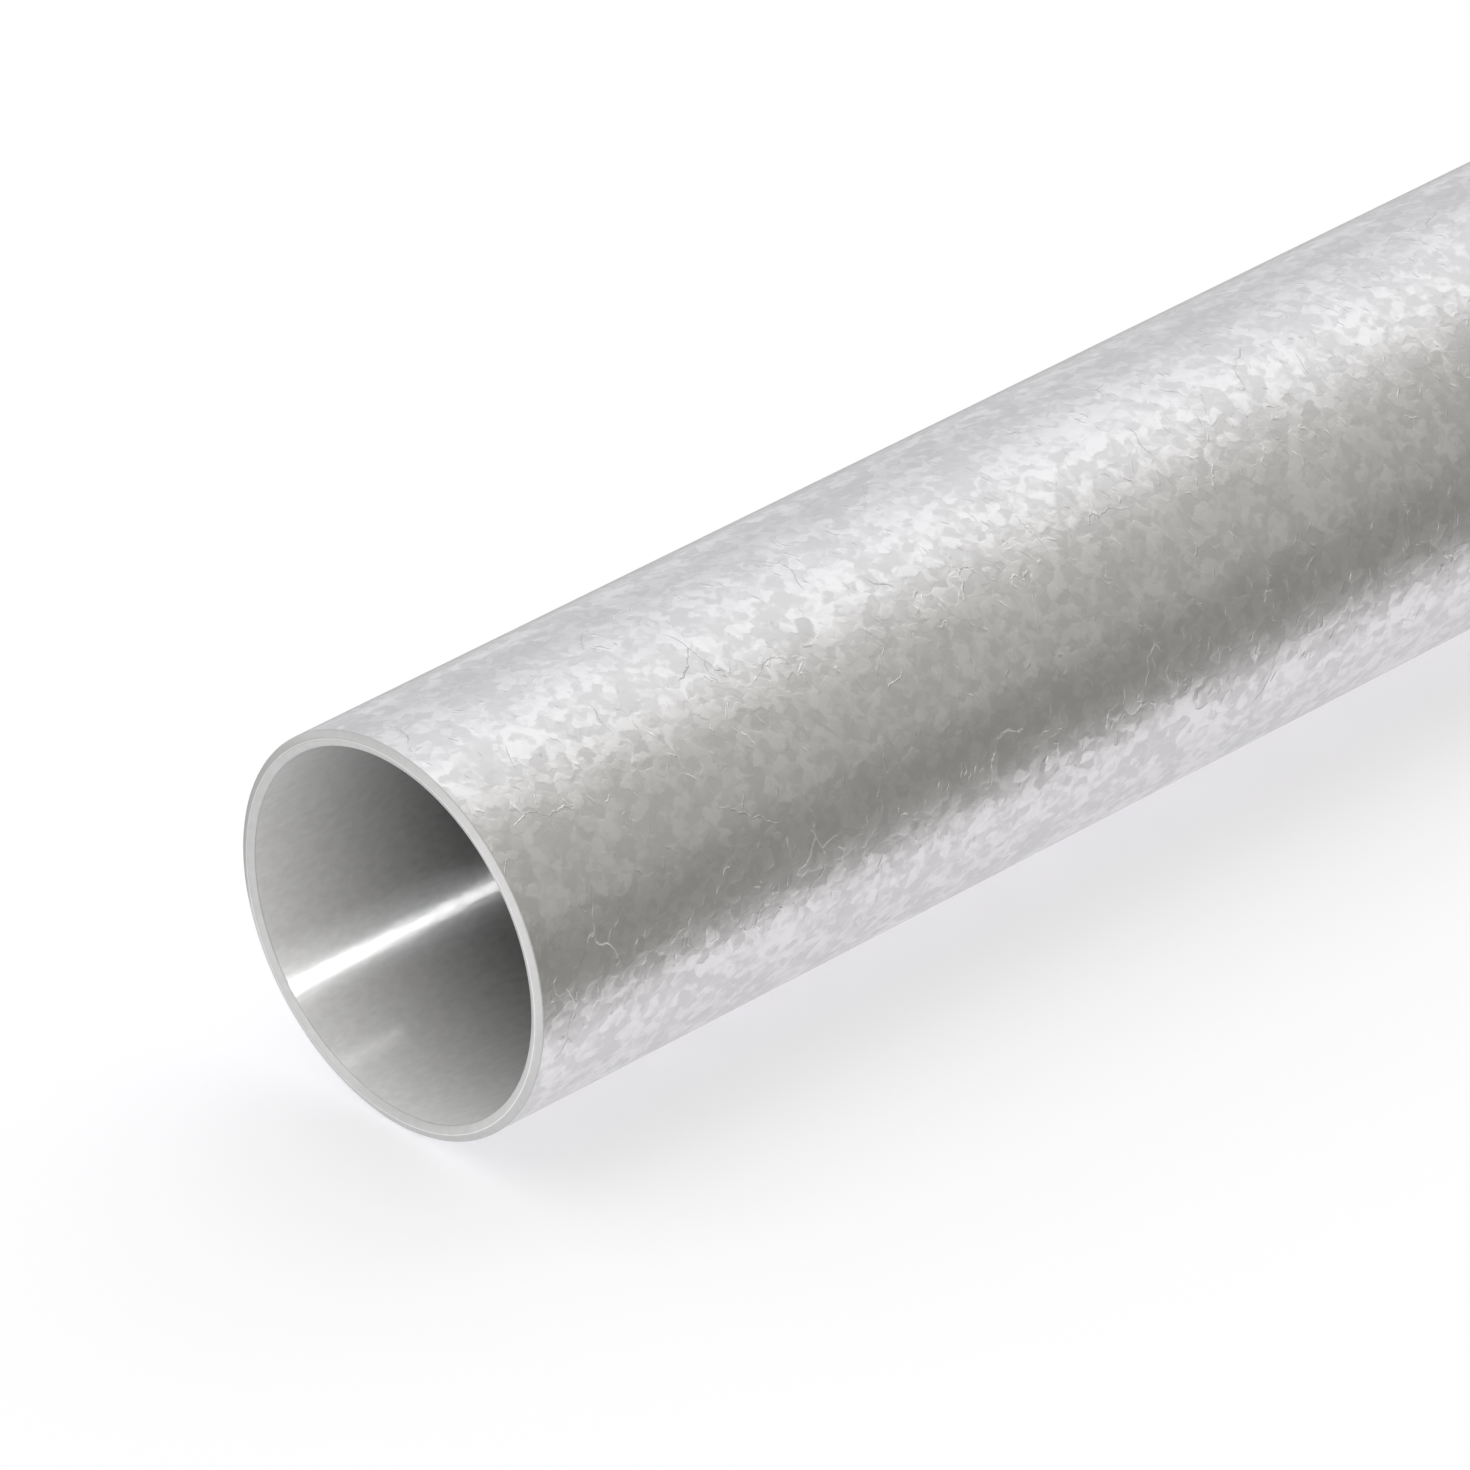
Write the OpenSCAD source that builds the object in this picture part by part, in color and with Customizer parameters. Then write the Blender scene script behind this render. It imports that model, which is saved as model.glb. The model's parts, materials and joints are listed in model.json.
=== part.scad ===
// Round galvanised steel tube: one straight length of stock, lying along X with its underside at z = 0.

/* [Tube] */
// Outside diameter
outer_d = 40; // [16:0.5:63]
// Wall thickness, zinc included
wall = 1.6; // [1:0.1:4]
// Length from end to end
tube_length = 1000; // [100:10:6000]

/* [Dressed ends] */
// Width of the flat ring left on each end, between the bevel of the bore and the bevel of the outside
end_land = 0.3; // [0.2:0.05:0.8]
// How far the two bevels reach along the tube
bevel_depth = 0.3; // [0.1:0.05:1]

/* [Hidden] */
$fn = 96;

zinc_grey = [0.72, 0.73, 0.74];
outer_r = outer_d / 2;
bore_r = outer_r - wall;
bevel_w = (wall - end_land) / 2;

// Section of the wall: x is the distance from the tube's axis, y runs along it from one end to the other
module wall_section() {
    polygon([
        [bore_r, bevel_depth],
        [bore_r + bevel_w, 0],
        [outer_r - bevel_w, 0],
        [outer_r, bevel_depth],
        [outer_r, tube_length - bevel_depth],
        [outer_r - bevel_w, tube_length],
        [bore_r + bevel_w, tube_length],
        [bore_r, tube_length - bevel_depth]
    ]);
}

// The tube: its wall turned about the axis, then laid down along X
module tube() {
    color(zinc_grey)
        translate([-tube_length / 2, 0, outer_r])
            rotate([0, 90, 0])
                rotate_extrude()
                    wall_section();
}

tube();
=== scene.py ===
"""A length of galvanised steel tube on a pale floor, seen close to its near open end."""

import json
import math

import bpy
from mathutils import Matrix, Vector


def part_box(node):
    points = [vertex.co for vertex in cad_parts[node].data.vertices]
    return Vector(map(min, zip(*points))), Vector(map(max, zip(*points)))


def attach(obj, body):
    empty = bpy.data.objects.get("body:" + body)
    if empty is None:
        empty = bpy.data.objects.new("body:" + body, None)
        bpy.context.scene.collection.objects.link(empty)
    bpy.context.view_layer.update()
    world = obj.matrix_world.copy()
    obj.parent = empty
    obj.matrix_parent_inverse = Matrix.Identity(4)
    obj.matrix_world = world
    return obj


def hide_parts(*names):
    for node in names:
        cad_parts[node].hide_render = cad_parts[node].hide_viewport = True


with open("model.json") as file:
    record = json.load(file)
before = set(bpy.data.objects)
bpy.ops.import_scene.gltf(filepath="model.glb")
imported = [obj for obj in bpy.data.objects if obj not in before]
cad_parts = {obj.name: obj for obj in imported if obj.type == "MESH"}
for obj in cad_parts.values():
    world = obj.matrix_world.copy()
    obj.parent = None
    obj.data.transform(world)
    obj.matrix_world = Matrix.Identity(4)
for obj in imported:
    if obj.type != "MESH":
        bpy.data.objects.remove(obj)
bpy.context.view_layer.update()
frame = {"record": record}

MM = 0.001

# Sizes of the tube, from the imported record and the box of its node
mounts = {mount["name"]: mount for mount in frame["record"]["mounts"]}
low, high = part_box("tube")
NEAR_X = low[0]
FAR_X = high[0]
OUTER_R = mounts["outside"]["dims"]["r_mm"] * MM
BORE_R = mounts["bore"]["dims"]["r_mm"] * MM
AXIS_Z = mounts["bore"]["pos_m"][2]
BEVEL_DEPTH = (FAR_X - NEAR_X - mounts["bore"]["dims"]["length_mm"] * MM) / 2

# Width of the flat land on each end, as in the part's source, and the rounding of the ends' edges
END_LAND = 0.3 * MM
EDGE_ROUND = 0.1 * MM

# Share of a tint's warmth that goes into red
RED_SHARE = 0.3

# Where most of a noise's values lie
NOISE_RANGE = (0.3, 0.7)


def grey(value, warmth=0.0):
    """A grey colour, yellowish for a positive warmth and lilac for a negative one."""
    return (value * (1 + RED_SHARE * abs(warmth)), value, value * (1 - warmth), 1.0)


class Nodes:
    """Shorthand for building one node tree."""

    def __init__(self, tree):
        self.tree = tree
        tree.nodes.clear()

    def add(self, kind, **settings):
        node = self.tree.nodes.new(kind)
        for name, value in settings.items():
            setattr(node, name, value)
        return node

    def link(self, source, target):
        self.tree.links.new(source, target)

    def feed(self, target, value):
        """Links a socket, or sets a plain value, on the input target."""
        if isinstance(value, bpy.types.NodeSocket):
            self.link(value, target)
        else:
            target.default_value = value

    def surface(self, shader, kind="ShaderNodeOutputMaterial"):
        """Makes a shader node the surface of the material, or of the world."""
        self.link(shader.outputs[0], self.add(kind).inputs["Surface"])

    def glow(self, colour, strength):
        node = self.add("ShaderNodeEmission")
        node.inputs["Color"].default_value = colour
        self.feed(node.inputs["Strength"], strength)
        return node

    def math(self, operation, a, b=0.0, clamp=False):
        node = self.add("ShaderNodeMath", operation=operation, use_clamp=clamp)
        self.feed(node.inputs[0], a)
        self.feed(node.inputs[1], b)
        return node.outputs[0]

    def vector(self, operation, a, b=(0.0, 0.0, 0.0)):
        node = self.add("ShaderNodeVectorMath", operation=operation)
        self.feed(node.inputs[0], a)
        self.feed(node.inputs[1], b)
        return node.outputs["Vector"]

    def centred(self, vector, span):
        """A vector whose components run from 0 to 1, made to run from minus half to plus half of span."""
        return self.vector("MULTIPLY", self.vector("SUBTRACT", vector, (0.5, 0.5, 0.5)), (span, span, span))

    def split(self, vector):
        """The three components of a vector."""
        node = self.add("ShaderNodeSeparateXYZ")
        self.link(vector, node.inputs[0])
        return node.outputs

    def place(self):
        """A point's place in its object's own frame, in metres."""
        return self.add("ShaderNodeTexCoord").outputs["Object"]

    def unrolled(self):
        """A point's place on the unrolled outside: along the tube, then round it from its top line."""
        x, y, z = self.split(self.place())
        turn = self.math("ARCTAN2", y, self.math("SUBTRACT", z, AXIS_Z))
        node = self.add("ShaderNodeCombineXYZ")
        self.link(x, node.inputs[0])
        self.link(self.math("MULTIPLY", turn, OUTER_R), node.inputs[1])
        return node.outputs[0]

    def ramp(self, value, from_low, from_high, to_low=0.0, to_high=1.0, smooth=False):
        """A value moved from one range to another and held within it."""
        kind = "SMOOTHSTEP" if smooth else "LINEAR"
        node = self.add("ShaderNodeMapRange", interpolation_type=kind, clamp=True)
        for socket, number in zip(node.inputs, (value, from_low, from_high, to_low, to_high)):
            self.feed(socket, number)
        return node.outputs[0]

    def noise(self, coordinates, pitch, detail=2.0, dimensions="2D"):
        node = self.add("ShaderNodeTexNoise", noise_dimensions=dimensions)
        self.link(coordinates, node.inputs["Vector"])
        node.inputs["Scale"].default_value = 1.0 / pitch
        node.inputs["Detail"].default_value = detail
        return node.outputs

    def grain(self, coordinates, pitch):
        """A noise in space."""
        return self.noise(coordinates, pitch, 3.0, "3D")["Fac"]

    def warp(self, coordinates, *bends):
        """The coordinates after each bend: a noise of its pitch pushes them by up to half of its reach."""
        for pitch, reach in bends:
            push = self.centred(self.noise(coordinates, pitch)["Color"], reach)
            coordinates = self.vector("ADD", coordinates, push)
        return coordinates

    def cells(self, coordinates, pitch, feature="F1"):
        node = self.add("ShaderNodeTexVoronoi", voronoi_dimensions="2D", feature=feature)
        self.link(coordinates, node.inputs["Vector"])
        node.inputs["Scale"].default_value = 1.0 / pitch
        return node

    def flakes(self, coordinates, pitch, softness):
        """A random vector for each cell of the given pitch, blended across the cells' borders."""
        node = self.cells(coordinates, pitch, "SMOOTH_F1")
        node.inputs["Smoothness"].default_value = softness
        return node.outputs["Color"]

    def hairlines(self, coordinates, pitch, half_width):
        """One along the borders of cells of the given pitch, falling to nought at half_width from them."""
        node = self.cells(coordinates, pitch, "DISTANCE_TO_EDGE")
        return self.ramp(node.outputs["Distance"], 0.0, half_width / pitch, 1.0, 0.0, smooth=True)

    def dashes(self, coordinates, pitch, reach, share):
        """One at the middle of a share of cells of the given pitch, falling to nought at reach from it."""
        node = self.cells(coordinates, pitch)
        spot = self.ramp(node.outputs["Distance"], 0.0, reach / pitch, 1.0, 0.0, smooth=True)
        chosen = self.math("LESS_THAN", self.split(node.outputs["Color"])[0], share)
        return self.math("MULTIPLY", spot, chosen)

    def mix(self, factor, a, b):
        """A colour between two others."""
        node = self.add("ShaderNodeMix", data_type="RGBA")
        self.feed(node.inputs["Factor"], factor)
        self.feed(node.inputs[6], a)
        self.feed(node.inputs[7], b)
        return node.outputs[2]

    def bump(self, height, distance):
        node = self.add("ShaderNodeBump")
        node.inputs["Strength"].default_value = 1.0
        node.inputs["Distance"].default_value = distance
        self.link(height, node.inputs["Height"])
        return node


def new_surface(name, metallic):
    """A material, its node builder and its Principled shader."""
    material = bpy.data.materials.new(name)
    material.use_nodes = True
    nodes = Nodes(material.node_tree)
    shader = nodes.add("ShaderNodeBsdfPrincipled")
    shader.inputs["Metallic"].default_value = metallic
    nodes.surface(shader)
    return material, nodes, shader


# Outside: zinc with a mottled spangle of small soft-edged flakes and a few fine creases
FLAKE_PITCH = 1.25 * MM
FINE_FLAKE_PITCH = 0.6 * MM
FLAKE_SOFTNESS = 0.45
FLAKE_BENDS = ((1.6 * MM, 1.1 * MM), (0.45 * MM, 0.3 * MM))
LARGE_SHARE = 0.6
FINE_SHARE = 0.4
FLAKE_RELIEF = 0.032 * MM
FLAKE_TILT = 0.065
PATCH_PITCH = 7 * MM
PATCH_SWING = 0.12
MOTTLE_RANGE = (0.2, 0.85)
DULL_ZINC = grey(0.725, -0.02)
BRIGHT_ZINC = grey(0.865, -0.02)
DULL_ROUGHNESS = 0.42
BRIGHT_ROUGHNESS = 0.34

# Creases and dashes, both mostly across the tube
CREASE_PITCH = 13 * MM
CREASE_STRETCH = (1.6, 1.0, 1.0)
CREASE_BENDS = ((7 * MM, 6 * MM), (0.6 * MM, 0.45 * MM))
CREASE_HALF_WIDTH = 0.15 * MM
CREASE_HEIGHT = 0.055 * MM
CREASED_PITCH = 5 * MM
CREASED_RANGE = (0.53, 0.63)
DASH_PITCH = 3.2 * MM
DASH_REACH = 0.8 * MM
DASH_STRETCH = (4.5, 1.0, 1.0)
DASH_BEND = (3 * MM, 3 * MM)
DASH_SHARE = 0.25
DASH_HEIGHT = 0.04 * MM


def zinc_outside():
    material, nodes, shader = new_surface("zinc_spangle", metallic=1.0)
    place = nodes.unrolled()
    bent = nodes.warp(place, *FLAKE_BENDS)
    large = nodes.flakes(bent, FLAKE_PITCH, FLAKE_SOFTNESS)
    fine = nodes.flakes(bent, FINE_FLAKE_PITCH, FLAKE_SOFTNESS)
    patches = nodes.noise(place, PATCH_PITCH)["Fac"]

    level = nodes.math("ADD", nodes.math("MULTIPLY", nodes.split(large)[0], LARGE_SHARE),
                       nodes.math("MULTIPLY", nodes.split(fine)[0], FINE_SHARE))
    mottle = nodes.math("ADD", level, nodes.ramp(patches, *NOISE_RANGE, -PATCH_SWING, PATCH_SWING))
    bright = nodes.ramp(mottle, *MOTTLE_RANGE, smooth=True)
    nodes.link(nodes.mix(bright, DULL_ZINC, BRIGHT_ZINC), shader.inputs["Base Color"])
    nodes.link(nodes.ramp(bright, 0.0, 1.0, DULL_ROUGHNESS, BRIGHT_ROUGHNESS), shader.inputs["Roughness"])

    # Each flake leans its own way and stands at its own height
    normal = nodes.add("ShaderNodeNewGeometry").outputs["Normal"]
    leaning = nodes.vector("ADD", normal, nodes.centred(large, FLAKE_TILT))
    relief = nodes.bump(level, FLAKE_RELIEF)
    nodes.link(nodes.vector("NORMALIZE", leaning), relief.inputs["Normal"])

    # Creases are stretches of the borders of large bent cells
    ragged = nodes.warp(nodes.vector("MULTIPLY", place, CREASE_STRETCH), *CREASE_BENDS)
    creases = nodes.hairlines(ragged, CREASE_PITCH, CREASE_HALF_WIDTH)
    creased = nodes.ramp(nodes.noise(place, CREASED_PITCH)["Fac"], *CREASED_RANGE)
    folds = nodes.bump(nodes.math("MULTIPLY", creases, creased), CREASE_HEIGHT)
    nodes.link(relief.outputs[0], folds.inputs["Normal"])

    # Dashes are slim spots
    slim = nodes.vector("MULTIPLY", nodes.warp(place, DASH_BEND), DASH_STRETCH)
    dashes = nodes.bump(nodes.dashes(slim, DASH_PITCH, DASH_REACH, DASH_SHARE), DASH_HEIGHT)
    nodes.link(folds.outputs[0], dashes.inputs["Normal"])
    nodes.link(dashes.outputs[0], shader.inputs["Normal"])
    return material


# Inside: smoother zinc with only a faint grain, and painted shade that darkens its colour further from the
# ends
BORE_METALLIC = 0.06
BORE_ROUGHNESS = 0.12
BORE_GRAIN_PITCH = 1.2 * MM
BORE_GRAIN_STRETCH = (1.0, 2.0, 2.0)
BORE_RELIEF = 0.006 * MM
BORE_SHADE_DEPTH = 24 * MM
MOUTH_GREYS = (grey(0.83), grey(0.92))
DEEP_SHADED_GREYS = (grey(0.25), grey(0.29))


def zinc_bore():
    material, nodes, shader = new_surface("zinc_bore", BORE_METALLIC)
    place = nodes.place()
    grain = nodes.grain(nodes.vector("MULTIPLY", place, BORE_GRAIN_STRETCH), BORE_GRAIN_PITCH)
    shade = nodes.ramp(grain, *NOISE_RANGE)
    # Painted shade: the colour darkens from the mouth greys to the deep greys over a set depth in from the
    # nearer end
    x = nodes.split(place)[0]
    depth = nodes.math("MINIMUM", nodes.math("SUBTRACT", x, NEAR_X), nodes.math("SUBTRACT", FAR_X, x))
    painted_shade = nodes.ramp(depth, 0.0, BORE_SHADE_DEPTH)
    colour = nodes.mix(painted_shade, nodes.mix(shade, *MOUTH_GREYS), nodes.mix(shade, *DEEP_SHADED_GREYS))
    nodes.link(colour, shader.inputs["Base Color"])
    shader.inputs["Roughness"].default_value = BORE_ROUGHNESS
    nodes.link(nodes.bump(grain, BORE_RELIEF).outputs[0], shader.inputs["Normal"])
    return material


# Cut ends, duller than the outside. The land between the bevels is painted lighter and the bevels painted
# darker: a lit and a shaded copy of the same cut zinc, painted highlight and painted shade
END_METALLIC = 0.25
END_ROUGHNESS = 0.3
END_GRAIN_PITCH = 0.9 * MM
END_RELIEF = 0.005 * MM
END_SWING = 0.02
# Painted light: the land level is a painted highlight and the bevel level painted shade on the same cut zinc
LAND_LIT_LEVEL = 0.76
BEVEL_SHADE_LEVEL = 0.54


def zinc_end(name, level):
    material, nodes, shader = new_surface(name, END_METALLIC)
    grain = nodes.grain(nodes.place(), END_GRAIN_PITCH)
    shade = nodes.ramp(grain, *NOISE_RANGE)
    colour = nodes.mix(shade, grey(level - END_SWING), grey(level + END_SWING))
    nodes.link(colour, shader.inputs["Base Color"])
    shader.inputs["Roughness"].default_value = END_ROUGHNESS
    nodes.link(nodes.bump(grain, END_RELIEF).outputs[0], shader.inputs["Normal"])
    return material


# Fineness of the turned mesh
SEGMENTS = 256
ROUND_STEPS = 4
RING_PITCH = 20 * MM

# Material of each side of the wall's section, from the near end's bore edge outwards and on
OUTSIDE, LAND, BEVEL, BORE = range(4)
SIDES = (BEVEL, LAND, BEVEL, OUTSIDE, BEVEL, LAND, BEVEL, BORE)


def rounded(before, corner, after):
    """Points of a smooth curve that rounds a corner of the section, EDGE_ROUND from it on both sides."""
    start = corner + (before - corner).normalized() * EDGE_ROUND
    stop = corner + (after - corner).normalized() * EDGE_ROUND
    points = []
    for step in range(ROUND_STEPS + 1):
        t = step / ROUND_STEPS
        points.append(start * (1 - t) ** 2 + corner * (2 * t * (1 - t)) + stop * t ** 2)
    return points


def section():
    """The wall's closed outline as (x, r) points, with the material of the face that follows each point."""
    bevel = (OUTER_R - BORE_R - END_LAND) / 2
    ends = []
    for x, inward in ((NEAR_X, 1), (FAR_X, -1)):
        ends.append([
            Vector((x + inward * BEVEL_DEPTH, BORE_R)),
            Vector((x, BORE_R + bevel)),
            Vector((x, OUTER_R - bevel)),
            Vector((x + inward * BEVEL_DEPTH, OUTER_R)),
        ])
    near, far = ends
    corners = near + far[::-1]
    outline = []
    for i, corner in enumerate(corners):
        following = corners[(i + 1) % len(corners)]
        arc = rounded(corners[i - 1], corner, following)
        outline += [(point, BEVEL) for point in arc[:-1]]
        material = SIDES[i]
        outline.append((arc[-1], material))
        if material in (OUTSIDE, BORE):
            rings = round(abs(following.x - corner.x) / RING_PITCH)
            for ring in range(1, rings):
                x = corner.x + (following.x - corner.x) * ring / rings
                outline.append((Vector((x, corner.y)), material))
    return outline


def turned_tube():
    """The wall's section turned about the tube's axis: one closed mesh."""
    outline = section()
    count = len(outline)
    verts = []
    for turn in range(SEGMENTS):
        angle = 2 * math.pi * turn / SEGMENTS
        for point, _ in outline:
            verts.append((point.x, -point.y * math.cos(angle), AXIS_Z + point.y * math.sin(angle)))
    faces = []
    for turn in range(SEGMENTS):
        this = turn * count
        following = (turn + 1) % SEGMENTS * count
        for i in range(count):
            j = (i + 1) % count
            faces.append((this + i, this + j, following + j, following + i))
    mesh = bpy.data.meshes.new("tube")
    mesh.from_pydata(verts, [], faces)
    mesh.polygons.foreach_set("material_index", [kind for _, kind in outline] * SEGMENTS)
    mesh.polygons.foreach_set("use_smooth", [True] * len(faces))
    mesh.materials.append(zinc_outside())
    # Land and bevels: one cut zinc at two painted levels, painted highlight on the land and painted shade on
    # the bevels
    mesh.materials.append(zinc_end("zinc_lit_land", LAND_LIT_LEVEL))
    mesh.materials.append(zinc_end("zinc_painted_shade_bevel", BEVEL_SHADE_LEVEL))
    mesh.materials.append(zinc_bore())
    mesh.validate()
    piece = bpy.data.objects.new("galvanised_tube", mesh)
    bpy.context.scene.collection.objects.link(piece)
    return piece


# The photograph's viewpoint
VIEW_AZIMUTH = math.radians(-43.70)
VIEW_ELEVATION = math.radians(31.65)
VIEW_DISTANCE = 1.3159
LENS_MM = 351.6
SENSOR_MM = 36.0
AIM = Vector((NEAR_X + 43.04 * MM, 0.0, 23.1 * MM))


def camera():
    data = bpy.data.cameras.new("camera")
    data.lens = LENS_MM
    data.sensor_width = SENSOR_MM
    obj = bpy.data.objects.new("camera", data)
    bpy.context.scene.collection.objects.link(obj)
    look = Vector((
        -math.sin(VIEW_AZIMUTH) * math.cos(VIEW_ELEVATION),
        math.cos(VIEW_AZIMUTH) * math.cos(VIEW_ELEVATION),
        -math.sin(VIEW_ELEVATION),
    ))
    obj.location = AIM - look * VIEW_DISTANCE
    obj.rotation_euler = look.to_track_quat("-Z", "Y").to_euler()
    bpy.context.scene.camera = obj


def stage_piece(name, corners, faces=((0, 1, 2, 3),)):
    """A piece of the stage, with a material of its own whose nodes are returned."""
    mesh = bpy.data.meshes.new(name)
    mesh.from_pydata(corners, [], faces)
    obj = bpy.data.objects.new(name, mesh)
    bpy.context.scene.collection.objects.link(obj)
    material = bpy.data.materials.new(name)
    material.use_nodes = True
    mesh.materials.append(material)
    return obj, Nodes(material.node_tree)


# Floor, lifted to white for the camera and for reflections where the tube doesn't shade it
FLOOR_REACH = 20.0
FLOOR_COLOUR = grey(0.72, -0.03)
LIFT_COLOUR = grey(1.0, -0.015)
LIFT = 0.445


def floor_corners(z):
    return [(x * FLOOR_REACH, y * FLOOR_REACH, z) for x, y in ((-1, -1), (1, -1), (1, 1), (-1, 1))]


def floor():
    _, nodes = stage_piece("floor", floor_corners(0.0))
    diffuse = nodes.add("ShaderNodeBsdfDiffuse")
    diffuse.inputs["Color"].default_value = FLOOR_COLOUR
    path = nodes.add("ShaderNodeLightPath")
    seen = nodes.math("ADD", path.outputs["Is Camera Ray"], path.outputs["Is Glossy Ray"])
    seen = nodes.math("ADD", seen, path.outputs["Is Transmission Ray"], clamp=True)
    lift = nodes.glow(LIFT_COLOUR, nodes.math("MULTIPLY", seen, LIFT))
    both = nodes.add("ShaderNodeAddShader")
    nodes.link(diffuse.outputs[0], both.inputs[0])
    nodes.link(lift.outputs[0], both.inputs[1])
    nodes.surface(both)


WALL_HEIGHT = 1.2


def backdrop():
    """A low white wall round the floor, for level views."""
    walls = [(i, (i + 1) % 4, (i + 1) % 4 + 4, i + 4) for i in range(4)]
    obj, nodes = stage_piece("backdrop", floor_corners(0.0) + floor_corners(WALL_HEIGHT), walls)
    nodes.surface(nodes.glow(grey(1.0), 1.0))
    obj.visible_diffuse = False
    obj.visible_shadow = False


# Low cards beside the tube and small ones before its ends, as a photographer sets round bright metal
CARD_FOOT = 14 * MM
FOOT_GLOW = 0.15
SIDE_CARD_GAP = 21 * MM
SIDE_CARD_HEIGHT = 30 * MM
SIDE_CARD_OVERHANG = 400 * MM
SIDE_CARD_WARMTH = 0.08
FRONT_CARD_LEVEL = 0.25
BACK_CARD_LEVEL = 0.32
END_CARD_GAP = 60 * MM
END_CARD_WIDTH = 70 * MM
END_CARD_HEIGHT = 50 * MM
END_CARD_LEVEL = 1.3


def card(name, start, stop, height, level, warmth=0.0):
    """A standing card that glows a little brighter at its foot, seen in reflections only."""
    obj, nodes = stage_piece(name, [(*start, 0.0), (*stop, 0.0), (*stop, height), (*start, height)])
    z = nodes.split(nodes.place())[2]
    strength = nodes.ramp(z, 0.0, CARD_FOOT, level + FOOT_GLOW, level)
    nodes.surface(nodes.glow(grey(1.0, warmth), strength))
    obj.visible_camera = False
    obj.visible_diffuse = False
    obj.visible_shadow = False
    obj.visible_transmission = False


def side_card(name, side, level):
    y = side * (OUTER_R + SIDE_CARD_GAP)
    start = (NEAR_X - SIDE_CARD_OVERHANG, y)
    stop = (FAR_X + SIDE_CARD_OVERHANG, y)
    card(name, start, stop, SIDE_CARD_HEIGHT, level, SIDE_CARD_WARMTH)


def end_card(name, x):
    """A card before one end, which brightens its bevels."""
    card(name, (x, -END_CARD_WIDTH / 2), (x, END_CARD_WIDTH / 2), END_CARD_HEIGHT, END_CARD_LEVEL)


# Studio dome: degrees round the tube's axis from the front horizon over the top, level and warmth
DOME_STOPS = (
    (0, 0.33, 0.075),
    (18, 0.40, 0.075),
    (40, 0.47, 0.075),
    (55, 0.49, 0.075),
    (68, 0.575, 0.06),
    (80, 0.83, 0.03),
    (95, 1.15, 0.01),
    (112, 1.06, 0.0),
    (130, 0.93, -0.005),
    (150, 0.83, -0.01),
    (168, 0.53, -0.015),
    (180, 0.40, -0.015),
)


def dome():
    world = bpy.data.worlds.new("dome")
    bpy.context.scene.world = world
    world.use_nodes = True
    nodes = Nodes(world.node_tree)
    _, y, z = nodes.split(nodes.add("ShaderNodeTexCoord").outputs["Generated"])
    angle = nodes.math("ARCTAN2", z, nodes.math("MULTIPLY", y, -1.0))
    ramp = nodes.add("ShaderNodeValToRGB")
    elements = ramp.color_ramp.elements
    while len(elements) < len(DOME_STOPS):
        elements.new(0.5)
    for element, (degrees, level, warmth) in zip(elements, DOME_STOPS):
        element.position = degrees / 180
        element.color = grey(level, warmth)
    nodes.link(nodes.math("DIVIDE", angle, math.pi), ramp.inputs[0])
    background = nodes.add("ShaderNodeBackground")
    nodes.link(ramp.outputs[0], background.inputs["Color"])
    nodes.surface(background, "ShaderNodeOutputWorld")


def rectangle_lamp(name, place, width, height, radiance):
    """A rectangular lamp that faces down, of the given even radiance, unseen by the camera."""
    data = bpy.data.lights.new(name, "AREA")
    data.shape = "RECTANGLE"
    data.size = width
    data.size_y = height
    data.energy = radiance * math.pi * width * height
    obj = bpy.data.objects.new(name, data)
    obj.location = place
    obj.visible_camera = False
    obj.visible_transmission = False
    bpy.context.scene.collection.objects.link(obj)
    return obj


# Low soft fill lamps close before the two open ends, each set to one side
FILL_GAP = 60 * MM
FILL_SHIFT = 120 * MM
FILL_WIDTH = 300 * MM
FILL_HEIGHT = 60 * MM
FILL_RADIANCE = 1.6


def end_fills(piece):
    """Fills that light the piece alone and aren't seen in its reflections."""
    lit = bpy.data.collections.new("filled")
    lit.objects.link(piece)
    for name, x, side in (("near_fill", NEAR_X, -1), ("far_fill", FAR_X, 1)):
        place = (x + side * FILL_GAP, side * FILL_SHIFT, AXIS_Z)
        lamp = rectangle_lamp(name, place, FILL_HEIGHT, FILL_WIDTH, FILL_RADIANCE)
        lamp.rotation_euler = (0.0, side * math.pi / 2, 0.0)
        lamp.light_linking.receiver_collection = lit
        lamp.visible_glossy = False


# Strip lamps in each end: offset from the axis, distance from the end, length, width and radiance
STRIPS = (
    (0.0, 6 * MM, 60 * MM, 1.5 * MM, 20.0),
    (0.0, 24 * MM, 42 * MM, 1.5 * MM, 18.0),
    (-5.5 * MM, 4 * MM, 22 * MM, 8 * MM, 0.9),
    (-5.5 * MM, 4 * MM, 36 * MM, 8 * MM, 0.7),
    (7.7 * MM, 7 * MM, 11 * MM, 1.3 * MM, 1.3),
)


def bore_strips():
    """Strips that are seen as a bright streak in the bore, a glow above it and a short faint streak below."""
    for y, start, length, width, radiance in STRIPS:
        middle = start + length / 2
        for x in (NEAR_X + middle, FAR_X - middle):
            lamp = rectangle_lamp("bore_strip", (x, y, AXIS_Z), length, width, radiance)
            lamp.data.cycles.max_bounces = 0
            lamp.visible_diffuse = False


camera()
tube = turned_tube()
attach(tube, "root")
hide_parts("tube")
floor()
backdrop()
side_card("front_card", -1, FRONT_CARD_LEVEL)
side_card("back_card", 1, BACK_CARD_LEVEL)
end_card("near_card", NEAR_X - END_CARD_GAP)
end_card("far_card", FAR_X + END_CARD_GAP)
dome()
end_fills(tube)
bore_strips()
bpy.context.scene.view_settings.view_transform = "Standard"
